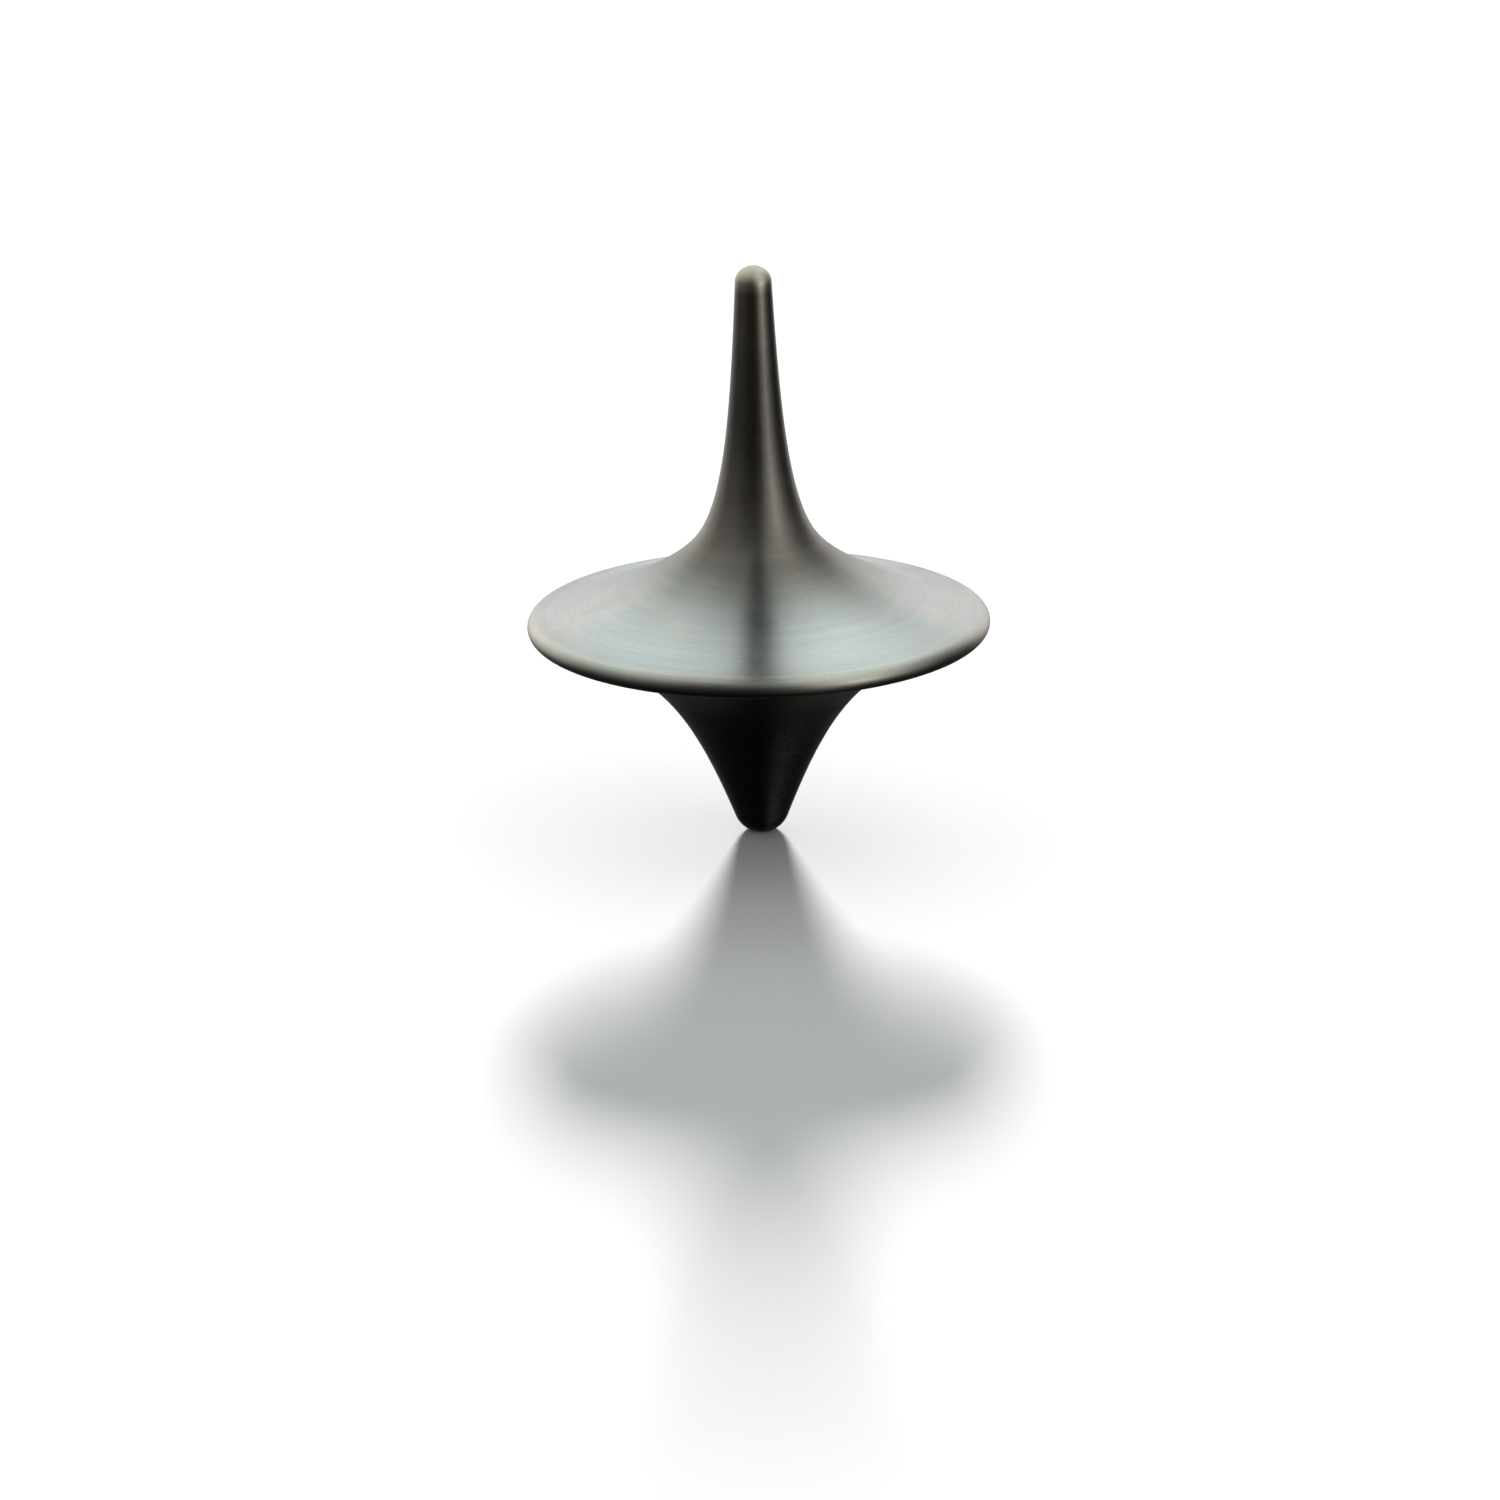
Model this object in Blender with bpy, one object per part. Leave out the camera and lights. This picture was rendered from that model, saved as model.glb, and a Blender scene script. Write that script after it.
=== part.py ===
"""A small turned metal spinning top: finger stem, flywheel disc, lower cone and contact tip.

The top stands on its tip, on the spin axis +Z, with the origin at the middle of the small flat it rests on.
The stem's shank goes down through the disc and its thread screws into the cone, which clamps the disc between
the stem's shoulder and the cone's top face. The tip's shank sits in a pocket in the bottom of the cone.
All lengths below are in millimetres, and all angles in degrees unless a name says otherwise.
"""
from math import acos, asin, atan2, cos, pi, radians, sin, sqrt, tan

import bmesh
import bpy

MM = 0.001

# Disc
DISC_RADIUS = 15.0
RIM_HEIGHT = 14.14           # middle of the rim above the resting flat
RIM_THICKNESS = 1.5
RIM_NOSE = 0.91              # how far the rounded edge reaches in from the rim
RIM_TOP_SLOPE = 6.4          # from level, where the top face leaves the rim
RIM_UNDER_SLOPE = 8.3        # from level, where the underside leaves the rim
HUB_HANDLES = (2.47, 3.18)   # handles of the top face's curve, at the rim and at the stem's foot

# Stem
STEM_FOOT = (3.94, 19.90)    # radius and height where the stem sits on the disc's hub
STEM_FOOT_ANGLE = 37.8       # from the spin axis
STEM_END = (1.18, 36.73)     # radius and height where the domed end begins
STEM_END_ANGLE = 2.94        # from the spin axis
STEM_DOME = 1.06             # height of the domed end
STEM_HANDLES = (3.08, 8.27)  # handles of the stem's curve, at its foot and at its end

# Cone and tip
CONE_ANGLE = 21.3            # from the spin axis, where the tip's sphere runs into the cone
CONE_SEAM_HEIGHT = 9.65      # where the cone's top face meets the disc
CONE_HANDLES = (7.36, 7.37)  # handles of the curve from the tip to the rim, at the tip and at the rim
TIP_SPHERE_RADIUS = 1.85
TIP_FLAT_RADIUS = 0.75

# Shank, bore and seams
SEAM_GAP = 0.04              # axial gap where two shoulders meet
SHANK_RADIUS = 1.5
SHANK_BOTTOM = 10.8
BORE_RADIUS = 1.56
RELIEF_RADIUS = 1.12         # the two undercuts, below the stem's shoulder and above its thread
RELIEF_LENGTH = 0.6
EDGE_BREAK = 0.3             # chamfer on the mouths of the bore and the ends of the shank

# Thread, M3 with a right-hand 60 degree profile
THREAD_PITCH = 0.5
THREAD_DEPTH = 0.541 * THREAD_PITCH
THREAD_CLEARANCE = 0.05
THREAD_BOTTOM = 5.9
THREAD_TOP = 9.0
THREAD_END_CHAMFER = 0.4
TAPPED_HOLE_BOTTOM = 5.3
TAPPED_HOLE_TOP = 9.4
TAPPED_HOLE_MOUTH_RADIUS = 1.665
DRILL_POINT = 0.7
# The corners of one tooth: how far along the pitch, and whether the corner is on the crest
THREAD_CORNERS = ((0.0, True), (1 / 8, True), (7 / 16, False), (11 / 16, False))

# Tip's shank and pocket
TIP_SHANK_RADIUS = 0.8
TIP_SHANK_TOP = 3.4
TIP_CHAMFER = 0.15
TIP_POCKET_RADIUS = 0.86
TIP_POCKET_TOP = 3.7

# Fineness of the solids
DISC_SEGMENTS = 64
STEM_SEGMENTS = 32
CONE_SEGMENTS = 32
TIP_SEGMENTS = 32
RIM_STEPS = 8
HUB_STEPS = 13
DISC_UNDERSIDE_STEPS = 9
STEM_STEPS = 15
DOME_STEPS = 6
CONE_STEPS = 11
NOSE_STEPS = 6
SHARP_ANGLE = 35
WELD_DISTANCE = 0.0002

# Colour and roughness of each piece
STEM_FINISH = ((0.10, 0.095, 0.09), 0.32)
FLYWHEEL_FINISH = ((0.60, 0.61, 0.60), 0.30)
CONE_FINISH = ((0.035, 0.033, 0.032), 0.34)
TIP_FINISH = ((0.03, 0.03, 0.03), 0.28)


def remove_scene_objects():
    for obj in list(bpy.data.objects):
        bpy.data.objects.remove(obj, do_unlink=True)


# ---------------------------------------------------------------- outlines, as (radius, height) points

def curve_point(corners, t):
    """The point at t, from 0 to 1, of the cubic curve with these end points and handles."""
    weights = ((1 - t) ** 3, 3 * (1 - t) ** 2 * t, 3 * (1 - t) * t * t, t ** 3)
    return tuple(sum(w * corner[axis] for w, corner in zip(weights, corners)) for axis in (0, 1))


def curve(corners, steps, first=0.0, last=1.0):
    """Points of a cubic curve from one t to another, both ends included."""
    return [curve_point(corners, first + (last - first) * step / steps) for step in range(steps + 1)]


def arc(centre, radii, first, last, steps):
    """Points of a circular or elliptical arc from one angle to another, both ends included."""
    angles = [first + (last - first) * step / steps for step in range(steps + 1)]
    return [(centre[0] + radii[0] * cos(a), centre[1] + radii[1] * sin(a)) for a in angles]


def offset(point, distance, degrees_from_level):
    angle = radians(degrees_from_level)
    return (point[0] + distance * cos(angle), point[1] + distance * sin(angle))


def rim_outline():
    """The rounded edge, from the underside round to the top face."""
    half = RIM_THICKNESS / 2
    under = -atan2(half, RIM_NOSE * tan(radians(RIM_UNDER_SLOPE)))
    top = atan2(half, RIM_NOSE * tan(radians(RIM_TOP_SLOPE)))
    return arc((DISC_RADIUS - RIM_NOSE, RIM_HEIGHT), (RIM_NOSE, half), under, top, RIM_STEPS)


def hub_outline():
    """The disc's top face, from the rim in and up to the stem's foot."""
    rim_top = rim_outline()[-1]
    rim_handle = offset(rim_top, HUB_HANDLES[0], 180 - RIM_TOP_SLOPE)
    foot_handle = offset(STEM_FOOT, HUB_HANDLES[1], STEM_FOOT_ANGLE - 90)
    return curve((rim_top, rim_handle, foot_handle, STEM_FOOT), HUB_STEPS)


def stem_outline():
    """The stem, from its foot up to the top of the domed end."""
    foot_handle = offset(STEM_FOOT, STEM_HANDLES[0], 90 + STEM_FOOT_ANGLE)
    end_handle = offset(STEM_END, STEM_HANDLES[1], STEM_END_ANGLE - 90)
    side = curve((STEM_FOOT, foot_handle, end_handle, STEM_END), STEM_STEPS)
    dome = arc((0.0, STEM_END[1]), (STEM_END[0], STEM_DOME), 0.0, pi / 2, DOME_STEPS)
    return side + dome[1:]


def tip_centre_height():
    return sqrt(TIP_SPHERE_RADIUS ** 2 - TIP_FLAT_RADIUS ** 2)


def tip_seam():
    """Where the tip's sphere runs into the cone."""
    angle = radians(CONE_ANGLE)
    return (TIP_SPHERE_RADIUS * cos(angle), tip_centre_height() - TIP_SPHERE_RADIUS * sin(angle))


def underside_corners():
    """The one smooth curve that runs from the tip up the cone and out under the disc to the rim."""
    start = tip_seam()
    end = rim_outline()[0]
    start_handle = offset(start, CONE_HANDLES[0], 90 - CONE_ANGLE)
    end_handle = offset(end, CONE_HANDLES[1], 180 + RIM_UNDER_SLOPE)
    return (start, start_handle, end_handle, end)


def underside_t(height):
    """Where along that curve it reaches a height. The curve only climbs, so halving finds it."""
    corners = underside_corners()
    low, high = 0.0, 1.0
    for _ in range(50):
        middle = (low + high) / 2
        if curve_point(corners, middle)[1] < height:
            low = middle
        else:
            high = middle
    return low


# ---------------------------------------------------------------- turned solids

def level_rings(points, segments):
    """Each point of an outline as a level ring."""
    return [[point] * (segments + 1) for point in points]


def thread_rings(low, high, root_radius, segments):
    """Rings that climb one pitch per turn.

    Past either end the thread has run out into the root, at the end's height. A ring has one more place than
    the solid has segments, where it meets the ring that is one pitch higher.
    """
    margin = THREAD_PITCH / 20
    first_turn = int(low / THREAD_PITCH) - 2
    last_turn = int(high / THREAD_PITCH) + 2
    rings = []
    for turn in range(first_turn, last_turn):
        for fraction, on_crest in THREAD_CORNERS:
            ring = []
            for place in range(segments + 1):
                height = THREAD_PITCH * (turn + fraction + place / segments)
                radius = root_radius + (THREAD_DEPTH if on_crest else 0.0)
                if height < low + margin:
                    radius, height = root_radius, low
                elif height > high - margin:
                    radius, height = root_radius, high
                ring.append((radius, height))
            rings.append(ring)
    return rings


def turned_mesh(name, rings, segments, closed_loop=False):
    """Skin a list of rings into one solid. An outline that isn't a closed loop begins and ends on the axis."""
    bm = bmesh.new()
    grid = []
    for ring in rings:
        line = []
        for place, (radius, height) in enumerate(ring):
            turn = 2 * pi * (place % segments) / segments
            line.append(bm.verts.new((radius * cos(turn) * MM, radius * sin(turn) * MM, height * MM)))
        grid.append(line)
    if closed_loop:
        grid.append(grid[0])
    for lower, upper in zip(grid, grid[1:]):
        for place in range(segments):
            bm.faces.new((lower[place], lower[place + 1], upper[place + 1], upper[place]))
    bmesh.ops.remove_doubles(bm, verts=bm.verts, dist=WELD_DISTANCE * MM)
    bmesh.ops.recalc_face_normals(bm, faces=bm.faces)
    mesh = bpy.data.meshes.new(name)
    bm.to_mesh(mesh)
    bm.free()
    mesh.shade_smooth()
    mesh.set_sharp_from_angle(angle=radians(SHARP_ANGLE))
    return mesh


def add_piece(name, mesh, finish, parent=None):
    colour, roughness = finish
    material = bpy.data.materials.new(name)
    material.use_nodes = True
    shader = material.node_tree.nodes["Principled BSDF"]
    shader.inputs["Base Color"].default_value = (*colour, 1.0)
    shader.inputs["Metallic"].default_value = 1.0
    shader.inputs["Roughness"].default_value = roughness
    mesh.materials.append(material)
    piece = bpy.data.objects.new(name, mesh)
    bpy.context.scene.collection.objects.link(piece)
    piece.parent = parent


# ---------------------------------------------------------------- the pieces

def make_stem(spin_axis):
    """Thread, thread relief, shank, shoulder relief, shoulder and finger stem, listed from the bottom up."""
    root = SHANK_RADIUS - THREAD_DEPTH
    shoulder = STEM_FOOT[1] + SEAM_GAP / 2
    thread_end = [
        (0.0, THREAD_BOTTOM - THREAD_END_CHAMFER),
        (root - THREAD_END_CHAMFER, THREAD_BOTTOM - THREAD_END_CHAMFER),
    ]
    shank = [
        (RELIEF_RADIUS, THREAD_TOP + root - RELIEF_RADIUS),
        (RELIEF_RADIUS, SHANK_BOTTOM - EDGE_BREAK),
        (SHANK_RADIUS, SHANK_BOTTOM),
        (SHANK_RADIUS, shoulder - RELIEF_LENGTH - EDGE_BREAK),
        (RELIEF_RADIUS, shoulder - RELIEF_LENGTH),
        (RELIEF_RADIUS, shoulder),
        (STEM_FOOT[0] - SEAM_GAP / 2 * tan(radians(STEM_FOOT_ANGLE)), shoulder),
    ]
    rings = level_rings(thread_end, STEM_SEGMENTS)
    rings += thread_rings(THREAD_BOTTOM, THREAD_TOP, root, STEM_SEGMENTS)
    rings += level_rings(shank + stem_outline()[1:], STEM_SEGMENTS)
    add_piece("stem", turned_mesh("stem", rings, STEM_SEGMENTS), STEM_FINISH, spin_axis)


def make_flywheel(spin_axis):
    """Disc with a hub above, a boss below and a bore, listed as a closed loop round its section."""
    boss_bottom = CONE_SEAM_HEIGHT + SEAM_GAP / 2
    hub_top = STEM_FOOT[1] - SEAM_GAP / 2
    underside = curve(underside_corners(), DISC_UNDERSIDE_STEPS, first=underside_t(boss_bottom))
    bore = [
        (STEM_FOOT[0] + SEAM_GAP / 2 * tan(radians(STEM_FOOT_ANGLE)), hub_top),
        (BORE_RADIUS + EDGE_BREAK, hub_top),
        (BORE_RADIUS, hub_top - EDGE_BREAK),
        (BORE_RADIUS, boss_bottom + EDGE_BREAK),
        (BORE_RADIUS + EDGE_BREAK, boss_bottom),
    ]
    section = underside + rim_outline()[1:] + hub_outline()[1:-1] + bore
    mesh = turned_mesh("flywheel", level_rings(section, DISC_SEGMENTS), DISC_SEGMENTS, closed_loop=True)
    add_piece("flywheel", mesh, FLYWHEEL_FINISH, spin_axis)


def make_lower_cone(spin_axis):
    """Nose cone, listed from the roof of the tip's pocket, round the outside and down the tapped hole."""
    top = CONE_SEAM_HEIGHT - SEAM_GAP / 2
    bottom = tip_seam()[1] + SEAM_GAP / 2
    root = SHANK_RADIUS - THREAD_DEPTH + THREAD_CLEARANCE
    pocket = [
        (0.0, TIP_POCKET_TOP),
        (TIP_POCKET_RADIUS, TIP_POCKET_TOP),
        (TIP_POCKET_RADIUS, bottom),
    ]
    side = curve(underside_corners(), CONE_STEPS, first=underside_t(bottom), last=underside_t(top))
    mouth = [(TAPPED_HOLE_MOUTH_RADIUS, top)]
    drill_point = [(0.0, TAPPED_HOLE_BOTTOM - DRILL_POINT)]
    rings = level_rings(pocket + side + mouth, CONE_SEGMENTS)
    rings += reversed(thread_rings(TAPPED_HOLE_BOTTOM, TAPPED_HOLE_TOP, root, CONE_SEGMENTS))
    rings += level_rings(drill_point, CONE_SEGMENTS)
    add_piece("lower_cone", turned_mesh("lower_cone", rings, CONE_SEGMENTS), CONE_FINISH, spin_axis)


def make_tip():
    """Contact tip, listed from the resting flat up the nose and the shank."""
    centre = tip_centre_height()
    shoulder = tip_seam()[1] - SEAM_GAP / 2
    flat_edge = -acos(TIP_FLAT_RADIUS / TIP_SPHERE_RADIUS)
    shoulder_edge = -asin((centre - shoulder) / TIP_SPHERE_RADIUS)
    radii = (TIP_SPHERE_RADIUS, TIP_SPHERE_RADIUS)
    nose = arc((0.0, centre), radii, flat_edge, shoulder_edge, NOSE_STEPS)
    shank = [
        (TIP_SHANK_RADIUS, shoulder),
        (TIP_SHANK_RADIUS, TIP_SHANK_TOP - TIP_CHAMFER),
        (TIP_SHANK_RADIUS - TIP_CHAMFER, TIP_SHANK_TOP),
        (0.0, TIP_SHANK_TOP),
    ]
    outline = [(0.0, 0.0)] + nose + shank
    add_piece("tip", turned_mesh("tip", level_rings(outline, TIP_SEGMENTS), TIP_SEGMENTS), TIP_FINISH)


def main():
    remove_scene_objects()
    spin_axis = bpy.data.objects.new("spin_axis", None)
    bpy.context.scene.collection.objects.link(spin_axis)
    make_stem(spin_axis)
    make_flywheel(spin_axis)
    make_lower_cone(spin_axis)
    make_tip()


main()
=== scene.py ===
"""Looks of a small turned metal spinning top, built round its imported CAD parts.

Each of the four turned pieces gets a finer mesh in the same place and a procedural turned steel. Lengths here
are in millimetres and angles in degrees, unless a name says otherwise. Blender's own units are metres and
radians.
"""
from math import acos, asin, atan2, cos, pi, radians, sin, sqrt, tan

import bmesh
import bpy
from mathutils import Matrix, Vector


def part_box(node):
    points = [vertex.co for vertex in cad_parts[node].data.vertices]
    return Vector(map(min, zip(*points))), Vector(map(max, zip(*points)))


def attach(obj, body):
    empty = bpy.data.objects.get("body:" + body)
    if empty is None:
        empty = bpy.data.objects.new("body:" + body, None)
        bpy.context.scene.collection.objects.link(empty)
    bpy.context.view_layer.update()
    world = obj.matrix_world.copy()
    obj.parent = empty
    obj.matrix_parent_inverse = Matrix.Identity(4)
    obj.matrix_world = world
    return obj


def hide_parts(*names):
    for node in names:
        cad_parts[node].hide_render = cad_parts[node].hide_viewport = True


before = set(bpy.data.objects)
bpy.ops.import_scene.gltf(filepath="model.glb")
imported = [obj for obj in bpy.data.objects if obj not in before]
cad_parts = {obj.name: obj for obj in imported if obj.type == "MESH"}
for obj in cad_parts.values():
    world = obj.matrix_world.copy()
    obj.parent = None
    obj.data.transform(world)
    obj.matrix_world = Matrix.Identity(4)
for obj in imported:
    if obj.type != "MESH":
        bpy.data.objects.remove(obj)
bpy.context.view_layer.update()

MM = 0.001

# The boxes of the CAD parts that the pieces here stand for, as lowest and highest corners
STEM_BOX, DISC_BOX, CONE_BOX, TIP_BOX = (
    [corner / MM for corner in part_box(node)] for node in ("stem", "flywheel", "lower_cone", "tip")
)
LOW, HIGH = 0, 1
CAD_GAP = 0.04               # between the CAD parts' shoulders; the pieces here close it to SEAM_GAP
SEAM_GAP = 0.005             # hairline where two shoulders meet

# Disc
DISC_RADIUS = DISC_BOX[HIGH].x
RIM_HEIGHT = 14.14           # middle of the rim above the floor
RIM_THICKNESS = 1.5
RIM_NOSE = 0.91              # how far the rounded edge reaches in from the rim
RIM_TOP_SLOPE = 6.4          # from level, where the top face leaves the rim
RIM_UNDER_SLOPE = 8.3        # from level, where the underside leaves the rim
HUB_HANDLES = (2.47, 3.18)   # handles of the top face's curve, at the rim and at the stem's foot

# Stem
STEM_FOOT = (3.94, DISC_BOX[HIGH].z + CAD_GAP / 2)    # radius and height where the stem sits on the disc
STEM_FOOT_ANGLE = 37.8       # from the spin axis
STEM_DOME = 1.06             # height of the domed end
STEM_END = (1.18, STEM_BOX[HIGH].z - STEM_DOME)       # radius and height where the domed end begins
STEM_END_ANGLE = 2.94        # from the spin axis
STEM_HANDLES = (3.08, 8.27)  # handles of the stem's curve, at its foot and at its end

# Cone and tip
CONE_ANGLE = 21.3            # from the spin axis, where the tip's sphere runs into the cone
CONE_SEAM_HEIGHT = (CONE_BOX[HIGH].z + DISC_BOX[LOW].z) / 2    # where the cone's top face meets the disc
CONE_HANDLES = (7.36, 7.37)  # handles of the curve from the tip to the rim, at the tip and at the rim
TIP_SPHERE_RADIUS = 1.85
TIP_FLAT_RADIUS = 0.75

# Shank and bore
SHANK_RADIUS = 1.5
SHANK_BOTTOM = 10.8
BORE_RADIUS = 1.56
RELIEF_RADIUS = 1.12
RELIEF_LENGTH = 0.6
EDGE_BREAK = 0.3

# Thread
THREAD_PITCH = 0.5
THREAD_DEPTH = 0.541 * THREAD_PITCH
THREAD_CLEARANCE = 0.05
THREAD_END_CHAMFER = 0.4
THREAD_END_MARGIN = THREAD_PITCH / 20    # points this near an end, or past it, are set onto it
THREAD_BOTTOM = STEM_BOX[LOW].z + THREAD_END_CHAMFER
THREAD_TOP = 9.0
TAPPED_HOLE_BOTTOM = 5.3
TAPPED_HOLE_TOP = 9.4
TAPPED_HOLE_MOUTH_RADIUS = 1.665
DRILL_POINT = 0.7
# The corners of one tooth: how far along the pitch, and whether the corner is on the crest
THREAD_CORNERS = ((0.0, True), (1 / 8, True), (7 / 16, False), (11 / 16, False))

# Tip's shank and pocket
TIP_SHANK_RADIUS = 0.8
TIP_SHANK_TOP = TIP_BOX[HIGH].z
TIP_CHAMFER = 0.15
TIP_POCKET_RADIUS = 0.86
TIP_POCKET_TOP = 3.7

# Fineness of the meshes
DISC_SEGMENTS = 192
STEM_SEGMENTS = 128
CONE_SEGMENTS = 128
TIP_SEGMENTS = 96
RIM_STEPS = 40
HUB_STEPS = 72
DISC_UNDERSIDE_STEPS = 48
STEM_STEPS = 88
DOME_STEPS = 24
CONE_STEPS = 56
NOSE_STEPS = 24
SHARP_ANGLE = 35
WELD_DISTANCE = 0.0002

# Camera, as seen from the middle of the rim's plane
CAMERA_ELEVATION = 16.75
CAMERA_DISTANCE = 400.0
CAMERA_ROLL = 0.93           # the top leans this much to the left in the picture
CAMERA_LENS = 148.07
CAMERA_SENSOR = 36.0
AIM_RIGHT = 0.081            # how far right of, and above, the picture's middle the rim's centre stands
AIM_UP = 1.192
CAMERA_CLIP_M = (0.01, 50.0)

# The room's brightness by azimuth, ring above ring. 0 is the camera's side and + its right.
STRAIGHT_DOWN = ((-180, 0.03), (180, 0.03))
DOWNWARDS = (
    (-180, 0.12), (-150, 0.12), (-130, 0.05), (-60, 0.05), (0, 0.06), (20, 0.16),
    (35, 0.38), (55, 0.42), (75, 0.08), (130, 0.04), (150, 0.12), (180, 0.12),
)
HORIZON = (
    (-180, 0.72), (-150, 1.00), (-120, 0.68), (-95, 0.20), (-60, 0.13), (-35, 0.04), (0, 0.02),
    (18, 0.08), (35, 1.38), (50, 2.92), (62, 1.75), (80, 0.48), (100, 0.06), (126, 0.14), (147, 0.76),
    (180, 0.72),
)
RAISED = (
    (-180, 0.71), (-168, 0.80), (-148, 1.08), (-130, 0.80), (-104, 0.44), (-60, 0.30), (-35, 0.13),
    (-15, 0.08), (0, 0.10), (12, 0.22), (24, 0.48), (50, 0.80), (62, 0.62), (80, 0.42), (98, 0.24),
    (118, 0.20), (130, 0.42), (145, 0.80), (158, 0.86), (168, 0.80), (180, 0.71),
)
HIGH_UP = (
    (-180, 1.10), (-165, 1.20), (-140, 0.95), (-104, 0.70), (-60, 0.55), (-42, 0.36), (-24, 0.28),
    (0, 0.30), (10, 0.36), (30, 0.80), (60, 1.00), (85, 0.95), (104, 0.72), (118, 0.52), (130, 0.80),
    (145, 1.14), (165, 1.38), (180, 1.10),
)
OVERHEAD = (
    (-180, 0.32), (-140, 0.21), (-104, 0.64), (-60, 0.88), (60, 0.94), (104, 0.90), (140, 0.29), (180, 0.32),
)
# Each ring takes over from the one before it between these two elevations
ROOM = (
    ((-90, -90), STRAIGHT_DOWN), ((-80, -50), DOWNWARDS), ((-26, -1), HORIZON), ((2, 14), RAISED),
    ((30, 52), HIGH_UP), ((54, 73), OVERHEAD),
)
# The lights overhead stop short of the plane through the camera and the spin axis, and leave a dark gap.
# Its half-widths are sines of the angle from that plane: the first is overhead and on the camera's side, and
# the second further back. The gap narrows between two sines of the angle back from straight overhead.
GAP_WIDTHS = (0.22, 0.10)
GAP_NARROWS = (0.05, 0.45)
GAP_BRIGHTNESS = 0.10
GAP_FADES_IN = (55, 74)      # elevations
# Light grows a little cooler between these elevations
COOL_FROM = (20, 31)
COOL_TINT = (0.91, 1.0, 0.995)
WHITE = (1.0, 1.0, 1.0)
SUN_ELEVATION = 17.8
SUN_AZIMUTH = 180
SUN_SOFTNESS = 9
SUN_STRENGTH = 9.0
SUN_COLOUR = (0.95, 1.0, 0.99)
FLOOR_SIZE_M = 6.0
FLOOR_COLOUR = (0.775, 0.74, 0.742)


# ---------------------------------------------------------------- outlines, as (radius, height) points

def curve_point(corners, t):
    """The point at t, from 0 to 1, of the cubic curve with these end points and handles."""
    weights = ((1 - t) ** 3, 3 * (1 - t) ** 2 * t, 3 * (1 - t) * t * t, t ** 3)
    return tuple(sum(w * corner[axis] for w, corner in zip(weights, corners)) for axis in (0, 1))


def curve(corners, steps, first=0.0, last=1.0):
    """Points of a cubic curve from one t to another, both ends included."""
    return [curve_point(corners, first + (last - first) * step / steps) for step in range(steps + 1)]


def arc(centre, radii, first, last, steps):
    """Points of a circular or elliptical arc from one angle to another, both ends included."""
    angles = [first + (last - first) * step / steps for step in range(steps + 1)]
    return [(centre[0] + radii[0] * cos(a), centre[1] + radii[1] * sin(a)) for a in angles]


def offset(point, distance, degrees_from_level):
    """The point at this distance and angle from another."""
    angle = radians(degrees_from_level)
    return (point[0] + distance * cos(angle), point[1] + distance * sin(angle))


def rim_outline():
    """The rounded edge, from the underside round to the top face."""
    half = RIM_THICKNESS / 2
    under = -atan2(half, RIM_NOSE * tan(radians(RIM_UNDER_SLOPE)))
    top = atan2(half, RIM_NOSE * tan(radians(RIM_TOP_SLOPE)))
    return arc((DISC_RADIUS - RIM_NOSE, RIM_HEIGHT), (RIM_NOSE, half), under, top, RIM_STEPS)


def hub_outline():
    """The disc's top face, from the rim in and up to the stem's foot."""
    rim_top = rim_outline()[-1]
    rim_handle = offset(rim_top, HUB_HANDLES[0], 180 - RIM_TOP_SLOPE)
    foot_handle = offset(STEM_FOOT, HUB_HANDLES[1], STEM_FOOT_ANGLE - 90)
    return curve((rim_top, rim_handle, foot_handle, STEM_FOOT), HUB_STEPS)


def stem_outline():
    """The stem, from its foot up to the top of the domed end."""
    foot_handle = offset(STEM_FOOT, STEM_HANDLES[0], 90 + STEM_FOOT_ANGLE)
    end_handle = offset(STEM_END, STEM_HANDLES[1], STEM_END_ANGLE - 90)
    side = curve((STEM_FOOT, foot_handle, end_handle, STEM_END), STEM_STEPS)
    dome = arc((0.0, STEM_END[1]), (STEM_END[0], STEM_DOME), 0.0, pi / 2, DOME_STEPS)
    return side + dome[1:]


def tip_centre_height():
    """How high the tip's sphere stands when its flat is on the floor."""
    return sqrt(TIP_SPHERE_RADIUS ** 2 - TIP_FLAT_RADIUS ** 2)


def tip_seam():
    """Where the tip's sphere runs into the cone."""
    angle = radians(CONE_ANGLE)
    return (TIP_SPHERE_RADIUS * cos(angle), tip_centre_height() - TIP_SPHERE_RADIUS * sin(angle))


def underside_corners():
    """The one smooth curve that runs from the tip up the cone and out under the disc to the rim."""
    start = tip_seam()
    end = rim_outline()[0]
    start_handle = offset(start, CONE_HANDLES[0], 90 - CONE_ANGLE)
    end_handle = offset(end, CONE_HANDLES[1], 180 + RIM_UNDER_SLOPE)
    return (start, start_handle, end_handle, end)


def underside_t(height):
    """Where along that curve it reaches a height. The curve only climbs, so halving finds it."""
    corners = underside_corners()
    low, high = 0.0, 1.0
    for _ in range(50):
        middle = (low + high) / 2
        if curve_point(corners, middle)[1] < height:
            low = middle
        else:
            high = middle
    return low


# ---------------------------------------------------------------- turned meshes

def level_rings(points, segments):
    """Each point of an outline as a level ring."""
    return [[point] * (segments + 1) for point in points]


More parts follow.
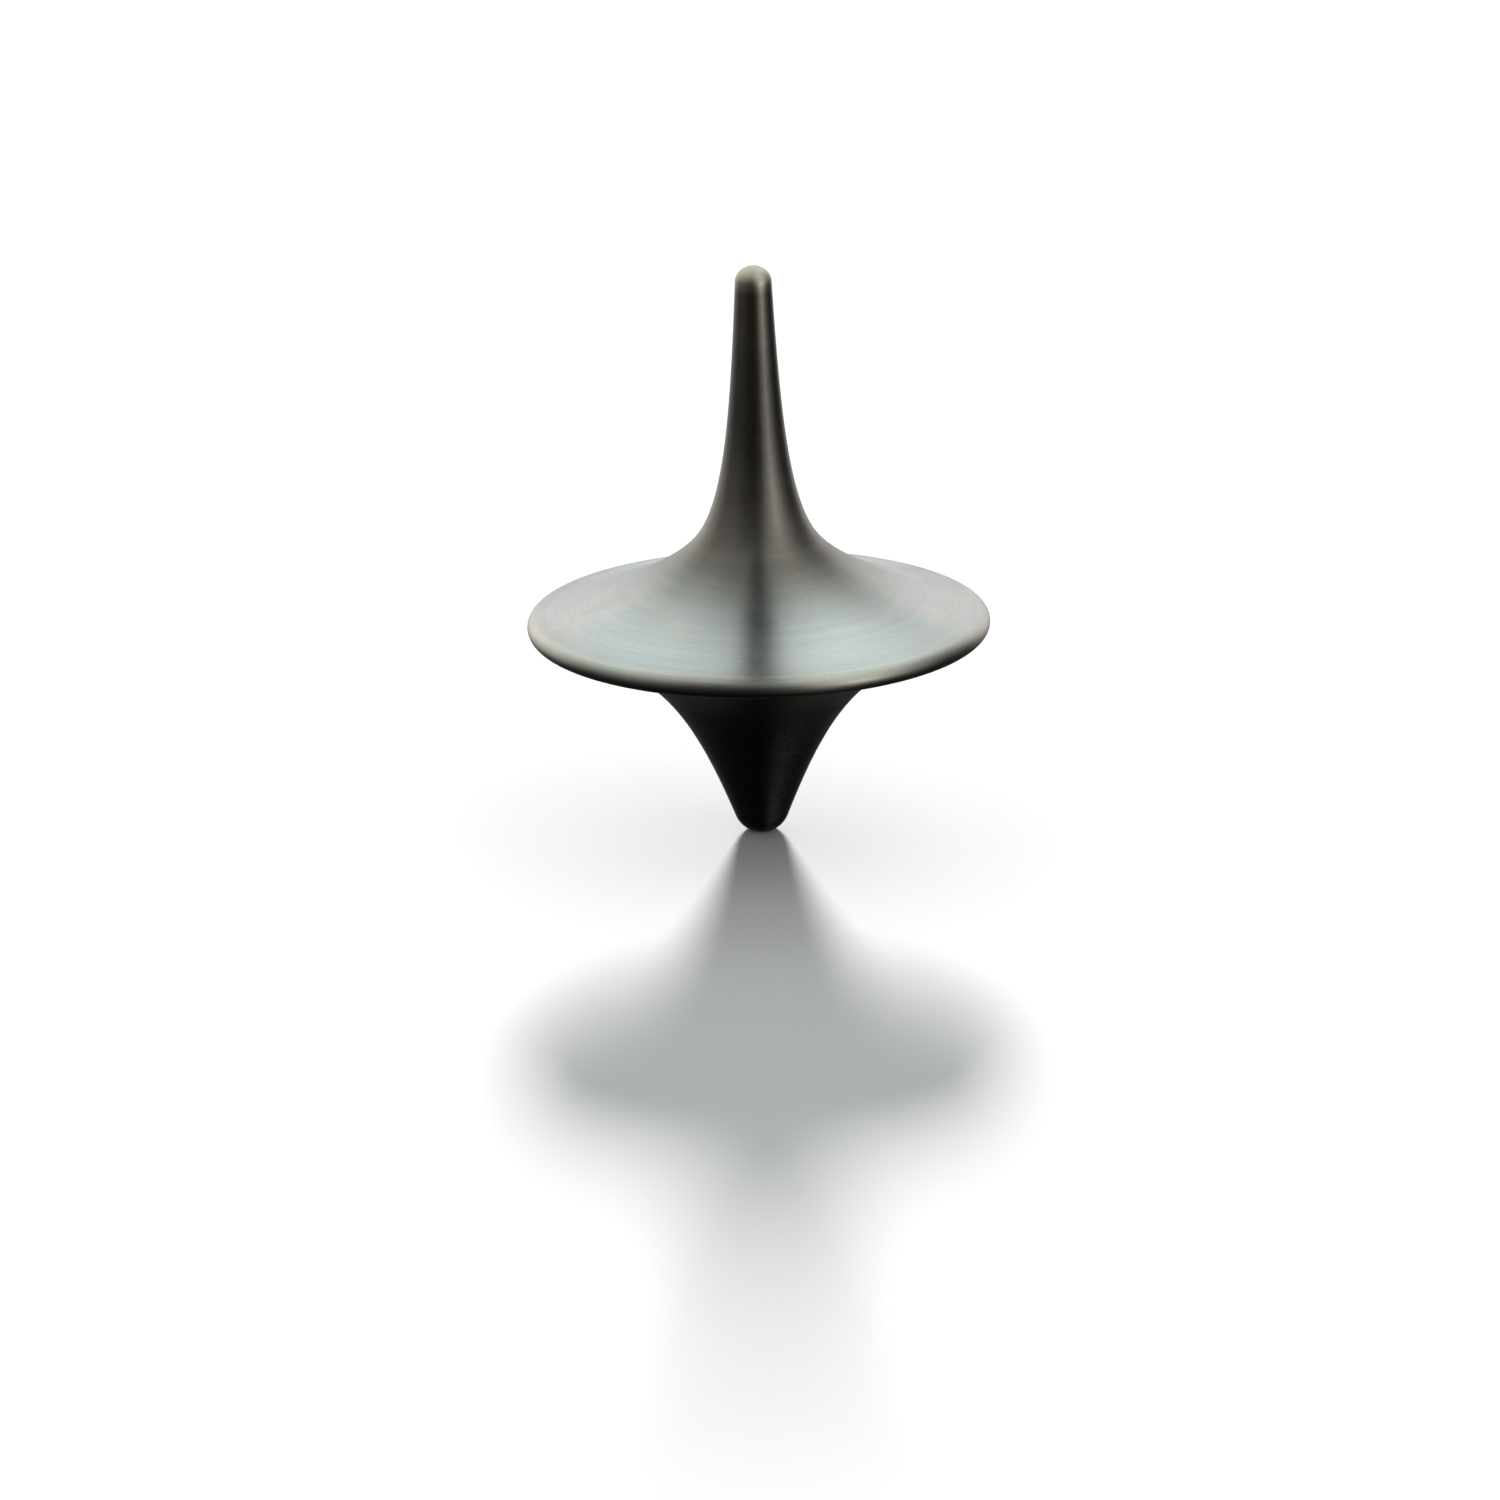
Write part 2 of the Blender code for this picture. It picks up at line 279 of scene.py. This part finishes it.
def thread_rings(low, high, root_radius, segments):
    """Rings that climb one pitch per turn.

    Past either end the thread has run out into the root, at the end's height. A ring has one more place than
    the mesh has segments, where it meets the ring that is one pitch higher.
    """
    first_turn = int(low / THREAD_PITCH) - 2
    last_turn = int(high / THREAD_PITCH) + 2
    rings = []
    for turn in range(first_turn, last_turn):
        for fraction, on_crest in THREAD_CORNERS:
            ring = []
            for place in range(segments + 1):
                height = THREAD_PITCH * (turn + fraction + place / segments)
                radius = root_radius + (THREAD_DEPTH if on_crest else 0.0)
                if height < low + THREAD_END_MARGIN:
                    radius, height = root_radius, low
                elif height > high - THREAD_END_MARGIN:
                    radius, height = root_radius, high
                ring.append((radius, height))
            rings.append(ring)
    return rings


def turned_mesh(name, rings, segments, closed_loop=False):
    """Skin a list of rings into one solid. It is a closed loop, or begins and ends on the axis."""
    bm = bmesh.new()
    grid = []
    for ring in rings:
        line = []
        for place, (radius, height) in enumerate(ring):
            turn = 2 * pi * (place % segments) / segments
            line.append(bm.verts.new((radius * cos(turn) * MM, radius * sin(turn) * MM, height * MM)))
        grid.append(line)
    if closed_loop:
        grid.append(grid[0])
    for lower, upper in zip(grid, grid[1:]):
        for place in range(segments):
            bm.faces.new((lower[place], lower[place + 1], upper[place + 1], upper[place]))
    bmesh.ops.remove_doubles(bm, verts=bm.verts, dist=WELD_DISTANCE * MM)
    bmesh.ops.recalc_face_normals(bm, faces=bm.faces)
    mesh = bpy.data.meshes.new(name)
    bm.to_mesh(mesh)
    bm.free()
    mesh.shade_smooth()
    mesh.set_sharp_from_angle(angle=radians(SHARP_ANGLE))
    return mesh


def stem_mesh():
    """Thread, thread relief, shank, shoulder relief, shoulder and finger stem, listed from the bottom up."""
    root = SHANK_RADIUS - THREAD_DEPTH
    shoulder = STEM_FOOT[1] + SEAM_GAP / 2
    thread_end = [
        (0.0, THREAD_BOTTOM - THREAD_END_CHAMFER),
        (root - THREAD_END_CHAMFER, THREAD_BOTTOM - THREAD_END_CHAMFER),
    ]
    shank = [
        (RELIEF_RADIUS, THREAD_TOP + root - RELIEF_RADIUS),
        (RELIEF_RADIUS, SHANK_BOTTOM - EDGE_BREAK),
        (SHANK_RADIUS, SHANK_BOTTOM),
        (SHANK_RADIUS, shoulder - RELIEF_LENGTH - EDGE_BREAK),
        (RELIEF_RADIUS, shoulder - RELIEF_LENGTH),
        (RELIEF_RADIUS, shoulder),
        (STEM_FOOT[0] - SEAM_GAP / 2 * tan(radians(STEM_FOOT_ANGLE)), shoulder),
    ]
    rings = level_rings(thread_end, STEM_SEGMENTS)
    rings += thread_rings(THREAD_BOTTOM, THREAD_TOP, root, STEM_SEGMENTS)
    rings += level_rings(shank + stem_outline()[1:], STEM_SEGMENTS)
    return turned_mesh("stem_metal", rings, STEM_SEGMENTS)


def disc_mesh():
    """Disc with a hub above, a boss below and a bore, listed as a closed loop round its section."""
    boss_bottom = CONE_SEAM_HEIGHT + SEAM_GAP / 2
    hub_top = STEM_FOOT[1] - SEAM_GAP / 2
    underside = curve(underside_corners(), DISC_UNDERSIDE_STEPS, first=underside_t(boss_bottom))
    bore = [
        (STEM_FOOT[0] + SEAM_GAP / 2 * tan(radians(STEM_FOOT_ANGLE)), hub_top),
        (BORE_RADIUS + EDGE_BREAK, hub_top),
        (BORE_RADIUS, hub_top - EDGE_BREAK),
        (BORE_RADIUS, boss_bottom + EDGE_BREAK),
        (BORE_RADIUS + EDGE_BREAK, boss_bottom),
    ]
    section = underside + rim_outline()[1:] + hub_outline()[1:-1] + bore
    return turned_mesh("disc_metal", level_rings(section, DISC_SEGMENTS), DISC_SEGMENTS, closed_loop=True)


def cone_mesh():
    """Nose cone, listed from the roof of the tip's pocket, round the outside and down the tapped hole."""
    top = CONE_SEAM_HEIGHT - SEAM_GAP / 2
    bottom = tip_seam()[1] + SEAM_GAP / 2
    root = SHANK_RADIUS - THREAD_DEPTH + THREAD_CLEARANCE
    pocket = [
        (0.0, TIP_POCKET_TOP),
        (TIP_POCKET_RADIUS, TIP_POCKET_TOP),
        (TIP_POCKET_RADIUS, bottom),
    ]
    side = curve(underside_corners(), CONE_STEPS, first=underside_t(bottom), last=underside_t(top))
    mouth = [(TAPPED_HOLE_MOUTH_RADIUS, top)]
    drill_point = [(0.0, TAPPED_HOLE_BOTTOM - DRILL_POINT)]
    rings = level_rings(pocket + side + mouth, CONE_SEGMENTS)
    rings += reversed(thread_rings(TAPPED_HOLE_BOTTOM, TAPPED_HOLE_TOP, root, CONE_SEGMENTS))
    rings += level_rings(drill_point, CONE_SEGMENTS)
    return turned_mesh("cone_metal", rings, CONE_SEGMENTS)


def tip_mesh():
    """Contact tip, listed from the resting flat up the nose and the shank."""
    centre = tip_centre_height()
    shoulder = tip_seam()[1] - SEAM_GAP / 2
    flat_edge = -acos(TIP_FLAT_RADIUS / TIP_SPHERE_RADIUS)
    shoulder_edge = -asin((centre - shoulder) / TIP_SPHERE_RADIUS)
    radii = (TIP_SPHERE_RADIUS, TIP_SPHERE_RADIUS)
    nose = arc((0.0, centre), radii, flat_edge, shoulder_edge, NOSE_STEPS)
    shank = [
        (TIP_SHANK_RADIUS, shoulder),
        (TIP_SHANK_RADIUS, TIP_SHANK_TOP - TIP_CHAMFER),
        (TIP_SHANK_RADIUS - TIP_CHAMFER, TIP_SHANK_TOP),
        (0.0, TIP_SHANK_TOP),
    ]
    outline = [(0.0, 0.0)] + nose + shank
    return turned_mesh("tip_metal", level_rings(outline, TIP_SEGMENTS), TIP_SEGMENTS)


# ---------------------------------------------------------------- node trees

class Tree:
    """Short names for the nodes used here. An input is a socket of another node, or a plain value."""

    def __init__(self, tree):
        self.tree = tree

    def node(self, kind, **settings):
        made = self.tree.nodes.new(kind)
        for name, value in settings.items():
            setattr(made, name, value)
        return made

    def feed(self, socket, source):
        if isinstance(source, bpy.types.NodeSocket):
            self.tree.links.new(source, socket)
        else:
            socket.default_value = source

    def math(self, operation, *sources):
        made = self.node("ShaderNodeMath", operation=operation)
        for socket, source in zip(made.inputs, sources):
            self.feed(socket, source)
        return made.outputs[0]

    def scaled(self, source, factor):
        made = self.node("ShaderNodeVectorMath", operation="SCALE")
        self.feed(made.inputs[0], source)
        made.inputs["Scale"].default_value = factor
        return made.outputs["Vector"]

    def combine(self, x, y, z):
        made = self.node("ShaderNodeCombineXYZ")
        for socket, source in zip(made.inputs, (x, y, z)):
            self.feed(socket, source)
        return made.outputs[0]

    def separate(self, source):
        made = self.node("ShaderNodeSeparateXYZ")
        self.feed(made.inputs[0], source)
        return made.outputs

    def noise(self, vector, scale, detail=2.0, roughness=0.5):
        """Smooth noise, from 0 to 1."""
        made = self.node("ShaderNodeTexNoise", noise_dimensions="3D")
        self.feed(made.inputs["Vector"], vector)
        made.inputs["Scale"].default_value = scale
        made.inputs["Detail"].default_value = detail
        made.inputs["Roughness"].default_value = roughness
        return made.outputs[0]

    def spread(self, source, from_low, from_high, to_low=0.0, to_high=1.0, smooth=False):
        """Maps one range to another and stops at its ends."""
        kind = "SMOOTHSTEP" if smooth else "LINEAR"
        made = self.node("ShaderNodeMapRange", interpolation_type=kind, clamp=True)
        values = (source, from_low, from_high, to_low, to_high)
        for socket, value in zip(made.inputs, values):
            self.feed(socket, value)
        return made.outputs[0]

    def mix(self, factor, first, second, blend="MIX"):
        made = self.node("ShaderNodeMix", data_type="RGBA", blend_type=blend)
        self.feed(made.inputs["Factor"], factor)
        for socket, source in zip((made.inputs[6], made.inputs[7]), (first, second)):
            self.feed(socket, (*source, 1.0) if isinstance(source, tuple) else source)
        return made.outputs[2]

    def ramp(self, source, stops):
        """A grey level by position. Positions run from the first stop to the last."""
        low, high = stops[0][0], stops[-1][0]
        made = self.node("ShaderNodeValToRGB")
        elements = made.color_ramp.elements
        elements.remove(elements[1])
        for index, (place, level) in enumerate(stops):
            position = (place - low) / (high - low)
            element = elements[0] if index == 0 else elements.new(position)
            element.position = position
            element.color = (level, level, level, 1.0)
        self.feed(made.inputs[0], self.spread(source, low, high))
        return made.outputs[0]


# ---------------------------------------------------------------- turned steel

# Layers of turning marks: their pitch, how fast they change round the axis, the noise's detail, and their
# share of the tone and of the height
TURNING_MARKS = (
    (0.75, 0.5, 2.0, 0.40, 1.60),
    (0.16, 1.2, 2.0, 0.34, 0.50),
    (0.07, 3.0, 1.0, 0.10, 0.06),
)
MARK_HEIGHT = 0.006
MARK_INNER_RADIUS = 0.2      # nearer the axis than this, the marks stop changing round it
# Uneven patches of the finish: each noise's scale, detail and roughness
CLOUDS = (0.32, 4.0, 0.6)
SPECKS = (3.1, 3.0, 0.7)
TINT_PATCHES = (0.45, 3.0, 0.6)
# What the patches change. The first two values are a range of the noise, and the last two what it becomes.
CLOUD_TONE = (0.30, 0.72, 0.91, 1.07)
CLOUD_ROUGHNESS = (0.32, 0.70, -0.015, 0.050)
SPECK_ROUGHNESS = (0.45, 0.75, 0.0, 0.03)
MIDDLE_OF_NOISE = (0.35, 0.65)
TINTS = ((0.955, 1.0, 1.005), (1.025, 1.0, 0.975))      # from cool to warm
# Highlights are stretched a quarter turn from the rings, that is across them
HIGHLIGHT_STRETCH = 0.95
SATIN_STRETCH = 0.10
HIGHLIGHT_TURN = 0.25

# Colours of the steel. The stem's, the domed end's, the rim's, the underside's, the cone's and the tip's are
# painted shade, painted highlight or painted reflection, standing in for the room that the metal mirrors
# Painted shade: the stem gets dark colours for the dark room that it mirrors. Its foot's colour, less dark,
# also paints shade up the disc's hub
FOOT_PAINTED_SHADE_COLOUR = (0.232, 0.205, 0.180)
STEM_PAINTED_SHADE_COLOUR = (0.123, 0.110, 0.094)
STEM_UPPER_PAINTED_SHADE_COLOUR = (0.155, 0.138, 0.119)
# Painted highlight: the cap of the domed end, which faces the light overhead, gets a light warm colour
DOME_PAINTED_HIGHLIGHT_COLOUR = (0.80, 0.70, 0.57)
DISC_COLOUR = (0.725, 0.73, 0.71)
# Painted reflection: the rim's warm cream band stands in for the warm light that it mirrors
RIM_PAINTED_REFLECTION_COLOUR = (0.70, 0.665, 0.59)
# Painted shade: the disc's underside and the rim's lower half are near black, for the dark room below that
# they mirror
UNDERSIDE_PAINTED_SHADE_COLOUR = (0.040, 0.036, 0.032)
# Painted shade: the cone is near black for the dark room below that it mirrors
CONE_PAINTED_SHADE_COLOUR = (0.036, 0.033, 0.031)
# Painted shade: the tip is near black like the cone
TIP_PAINTED_SHADE_COLOUR = (0.030, 0.030, 0.030)
WORN_TIP_COLOUR = (0.30, 0.29, 0.27)

# Roughness of the steel
TURNED = 0.30
CONE_ROUGHNESS = 0.34
WORN = 0.36
SATIN = 0.50

# Where one painted colour gives way to the next, and where the tip's wear begins: heights, and a radius for
# the tip, where each change starts and ends
# Heights where the stem's painted shade deepens above its foot, and eases again towards its end
STEM_FOOT_FADES = (STEM_FOOT[1] - 0.3, STEM_FOOT[1] + 8.1)
STEM_LIGHTENS = (STEM_END[1] - 5.73, STEM_END[1] - 2.73)
# Heights where the painted highlight on the domed end comes in
DOME_PAINTED_HIGHLIGHT_SPAN = (STEM_END[1] - 0.73, STEM_END[1] + 0.97)
DOME_TURNS_SATIN = (STEM_END[1] - 0.23, STEM_END[1] + 0.57)
# Heights where the painted shade under the rim gives way to the rim's painted reflection, and that to the
# disc's own colour
RIM_LIGHTENS = (RIM_HEIGHT - 0.46, RIM_HEIGHT + 0.66)
RIM_ENDS = (RIM_HEIGHT + 0.54, RIM_HEIGHT + 0.86)
# Painted shade up the disc's hub towards the stem's foot, where the hub mirrors the dark stem
HUB_PAINTED_SHADE_SPAN = (RIM_HEIGHT + 1.06, STEM_FOOT[1] - 0.6)
TIP_WEARS = (TIP_FLAT_RADIUS + 0.2, TIP_FLAT_RADIUS - 0.1)


def turned_steel(name, colour, roughness, slope, bands=(), marks=0.5, mottle=0.04, satin_from=None):
    """Steel with the fine rings that a lathe tool leaves round the spin axis.

    slope is -1 where height climbs as the outline runs in, as on the disc's top and the stem, and +1 below
    the disc. bands are (coordinate, (start, end), colour, roughness) changes, each of which takes over from
    the one before; most of their colours are painted shade, painted highlight or painted reflection, and the
    tip's is wear. marks is the strength of the turning marks' tone, and mottle that of the small specks'
    tone. satin_from are the heights between which the highlights stop being stretched.
    """
    material = bpy.data.materials.new(name)
    material.use_nodes = True
    t = Tree(material.node_tree)
    shader = material.node_tree.nodes["Principled BSDF"]

    place = t.scaled(t.node("ShaderNodeTexCoord").outputs["Object"], 1 / MM)
    x, y, z = t.separate(place)
    radius = t.math("SQRT", t.math("ADD", t.math("MULTIPLY", x, x), t.math("MULTIPLY", y, y)))
    along = t.math("ADD", radius, t.math("MULTIPLY", z, float(slope)))
    turn_x = t.math("DIVIDE", x, t.math("MAXIMUM", radius, MARK_INNER_RADIUS))
    turn_y = t.math("DIVIDE", y, t.math("MAXIMUM", radius, MARK_INNER_RADIUS))

    tone = height = 0.0
    for pitch, drift, detail, tone_share, height_share in TURNING_MARKS:
        across = t.math("DIVIDE", along, pitch)
        round_x = t.math("MULTIPLY", turn_x, drift)
        round_y = t.math("MULTIPLY", turn_y, drift)
        rings = t.noise(t.combine(across, round_x, round_y), 1.0, detail)
        tone = t.math("MULTIPLY_ADD", t.math("SUBTRACT", rings, 0.5), tone_share * marks, tone)
        height = t.math("MULTIPLY_ADD", rings, height_share, height)
    clouds = t.noise(place, *CLOUDS)
    specks = t.noise(place, *SPECKS)
    tints = t.noise(place, *TINT_PATCHES)

    rough = roughness
    for coordinate, change, band_colour, band_roughness in bands:
        share = t.spread({"radius": radius, "height": z}[coordinate], *change, smooth=True)
        colour = t.mix(share, colour, band_colour)
        if band_roughness != roughness:
            rough = t.math("MULTIPLY_ADD", share, band_roughness - roughness, rough)

    tone = t.math("ADD", tone, t.spread(specks, *MIDDLE_OF_NOISE, 1.0 - mottle, 1.0 + mottle))
    shade = t.math("MULTIPLY", tone, t.spread(clouds, *CLOUD_TONE))
    colour = t.mix(1.0, colour, t.combine(shade, shade, shade), "MULTIPLY")
    colour = t.mix(1.0, colour, t.mix(t.spread(tints, *MIDDLE_OF_NOISE), *TINTS), "MULTIPLY")
    t.feed(shader.inputs["Base Color"], colour)

    rough = t.math("ADD", rough, t.spread(clouds, *CLOUD_ROUGHNESS))
    rough = t.math("ADD", rough, t.spread(specks, *SPECK_ROUGHNESS))
    t.feed(shader.inputs["Roughness"], rough)

    bump = t.node("ShaderNodeBump")
    bump.inputs["Distance"].default_value = MARK_HEIGHT * MM
    t.feed(bump.inputs["Height"], height)
    t.feed(shader.inputs["Normal"], bump.outputs[0])

    shader.inputs["Metallic"].default_value = 1.0
    stretch = HIGHLIGHT_STRETCH
    if satin_from:
        stretch = t.spread(z, *satin_from, HIGHLIGHT_STRETCH, SATIN_STRETCH, smooth=True)
    t.feed(shader.inputs["Anisotropic"], stretch)
    shader.inputs["Anisotropic Rotation"].default_value = HIGHLIGHT_TURN
    tangent = t.node("ShaderNodeTangent", direction_type="RADIAL", axis="Z")
    t.feed(shader.inputs["Tangent"], tangent.outputs[0])
    return material


def stem_steel():
    """Stem painted dark, a painted shade standing in for the dark room that it mirrors, lighter at its foot
    and near its end. Its domed end gets a light painted highlight and is satin.
    """
    return turned_steel("stem_steel", FOOT_PAINTED_SHADE_COLOUR, TURNED, -1, (
        ("height", STEM_FOOT_FADES, STEM_PAINTED_SHADE_COLOUR, TURNED),
        ("height", STEM_LIGHTENS, STEM_UPPER_PAINTED_SHADE_COLOUR, TURNED),
        ("height", DOME_PAINTED_HIGHLIGHT_SPAN, DOME_PAINTED_HIGHLIGHT_COLOUR, SATIN),
    ), satin_from=DOME_TURNS_SATIN)


def disc_steel():
    """Bright disc. Painted shade darkens it up its hub to the stem's foot, and round the rim to the
    underside, which is painted near black; a warm painted reflection lies along the rim.
    """
    return turned_steel("disc_steel", UNDERSIDE_PAINTED_SHADE_COLOUR, TURNED, -1, (
        ("height", RIM_LIGHTENS, RIM_PAINTED_REFLECTION_COLOUR, TURNED),
        ("height", RIM_ENDS, DISC_COLOUR, TURNED),
        ("height", HUB_PAINTED_SHADE_SPAN, FOOT_PAINTED_SHADE_COLOUR, TURNED),
    ))


def cone_steel():
    """Cone painted near black, a painted shade for the dark room below that it mirrors."""
    return turned_steel("cone_steel", CONE_PAINTED_SHADE_COLOUR, CONE_ROUGHNESS, 1, mottle=0.22)


def tip_steel():
    """Tip painted near black, a painted shade like the cone's, worn down to bright steel on the flat that it
    spins on.
    """
    return turned_steel("tip_steel", TIP_PAINTED_SHADE_COLOUR, TURNED, 1, (
        ("radius", TIP_WEARS, WORN_TIP_COLOUR, WORN),
    ), marks=0.3)


def add_piece(mesh, material, body, node):
    """Show a mesh in place of a CAD node, moving with the node's body."""
    piece = bpy.data.objects.new(mesh.name, mesh)
    bpy.context.scene.collection.objects.link(piece)
    mesh.materials.append(material)
    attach(piece, body)
    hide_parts(node)


# ---------------------------------------------------------------- floor, light and camera

def make_floor():
    """A large pale floor. It is left out of reflections, so that the top's lower side mirrors a dark room."""
    half = FLOOR_SIZE_M / 2
    corners = [(-half, -half, 0), (half, -half, 0), (half, half, 0), (-half, half, 0)]
    mesh = bpy.data.meshes.new("floor")
    mesh.from_pydata(corners, [], [(0, 1, 2, 3)])
    material = bpy.data.materials.new("floor")
    material.use_nodes = True
    shader = material.node_tree.nodes["Principled BSDF"]
    shader.inputs["Base Color"].default_value = (*FLOOR_COLOUR, 1.0)
    shader.inputs["Roughness"].default_value = 1.0
    shader.inputs["Specular IOR Level"].default_value = 0.0
    mesh.materials.append(material)
    floor = bpy.data.objects.new("floor", mesh)
    bpy.context.scene.collection.objects.link(floor)
    floor.visible_glossy = False


def make_world():
    """A soft room: bright overhead and behind, dark round the camera, with a soft light to its right."""
    world = bpy.data.worlds.new("studio")
    bpy.context.scene.world = world
    world.use_nodes = True
    t = Tree(world.node_tree)
    x, y, z = t.separate(t.node("ShaderNodeTexCoord").outputs["Generated"])
    azimuth = t.math("DEGREES", t.math("ARCTAN2", x, t.math("MULTIPLY", y, -1.0)))
    elevation = t.math("DEGREES", t.math("ARCSINE", z))
    brightness = t.ramp(azimuth, ROOM[0][1])
    for (low, high), ring in ROOM[1:]:
        brightness = t.mix(t.spread(elevation, low, high, smooth=True), brightness, t.ramp(azimuth, ring))
    across_gap = t.math("DIVIDE", t.math("ABSOLUTE", x), t.spread(y, *GAP_NARROWS, *GAP_WIDTHS))
    gap = t.spread(across_gap, 0.0, 1.0, GAP_BRIGHTNESS, 1.0, smooth=True)
    gap = t.mix(t.spread(elevation, *GAP_FADES_IN, smooth=True), WHITE, gap)
    brightness = t.mix(1.0, brightness, gap, "MULTIPLY")
    tint = t.mix(t.spread(elevation, *COOL_FROM, smooth=True), WHITE, COOL_TINT)
    brightness = t.mix(1.0, brightness, tint, "MULTIPLY")
    background = world.node_tree.nodes["Background"]
    t.feed(background.inputs["Color"], brightness)
    background.inputs["Strength"].default_value = 1.0


def make_sun():
    """A soft light behind the top, which lays its shadow on the floor towards the camera."""
    light = bpy.data.lights.new("back_light", "SUN")
    light.energy = SUN_STRENGTH
    light.color = SUN_COLOUR
    light.angle = radians(SUN_SOFTNESS)
    sun = bpy.data.objects.new("back_light", light)
    bpy.context.scene.collection.objects.link(sun)
    azimuth, elevation = radians(SUN_AZIMUTH), radians(SUN_ELEVATION)
    towards = Vector((sin(azimuth) * cos(elevation), -cos(azimuth) * cos(elevation), sin(elevation)))
    sun.rotation_mode = "QUATERNION"
    sun.rotation_quaternion = towards.to_track_quat("Z", "Y")
    sun.visible_glossy = False


def make_camera():
    """A camera that looks down at the rim's centre and is rolled a little."""
    elevation, roll = radians(CAMERA_ELEVATION), radians(CAMERA_ROLL)
    target = Vector((0.0, 0.0, RIM_HEIGHT * MM))
    back = Vector((0.0, -cos(elevation), sin(elevation)))
    across = Vector((1.0, 0.0, 0.0))
    up = back.cross(across)
    right = across * cos(roll) - up * sin(roll)
    upright = across * sin(roll) + up * cos(roll)
    look = Matrix((right, upright, back)).transposed().to_quaternion()
    to_target = Vector((tan(radians(AIM_RIGHT)), tan(radians(AIM_UP)), -1.0)).normalized()
    turn = to_target.rotation_difference(Vector((0.0, 0.0, -1.0)))
    data = bpy.data.cameras.new("camera")
    data.sensor_width = CAMERA_SENSOR
    data.lens = CAMERA_LENS
    data.clip_start, data.clip_end = CAMERA_CLIP_M
    camera = bpy.data.objects.new("camera", data)
    bpy.context.scene.collection.objects.link(camera)
    camera.rotation_mode = "QUATERNION"
    camera.rotation_quaternion = look @ turn
    camera.location = target + back * CAMERA_DISTANCE * MM
    bpy.context.scene.camera = camera


def main():
    add_piece(stem_mesh(), stem_steel(), "spinning_body", "stem")
    add_piece(disc_mesh(), disc_steel(), "spinning_body", "flywheel")
    add_piece(cone_mesh(), cone_steel(), "spinning_body", "lower_cone")
    add_piece(tip_mesh(), tip_steel(), "standing_tip", "tip")
    make_floor()
    make_world()
    make_sun()
    make_camera()
    bpy.context.scene.view_settings.view_transform = "Standard"


main()
bpy.context.view_layer.update()
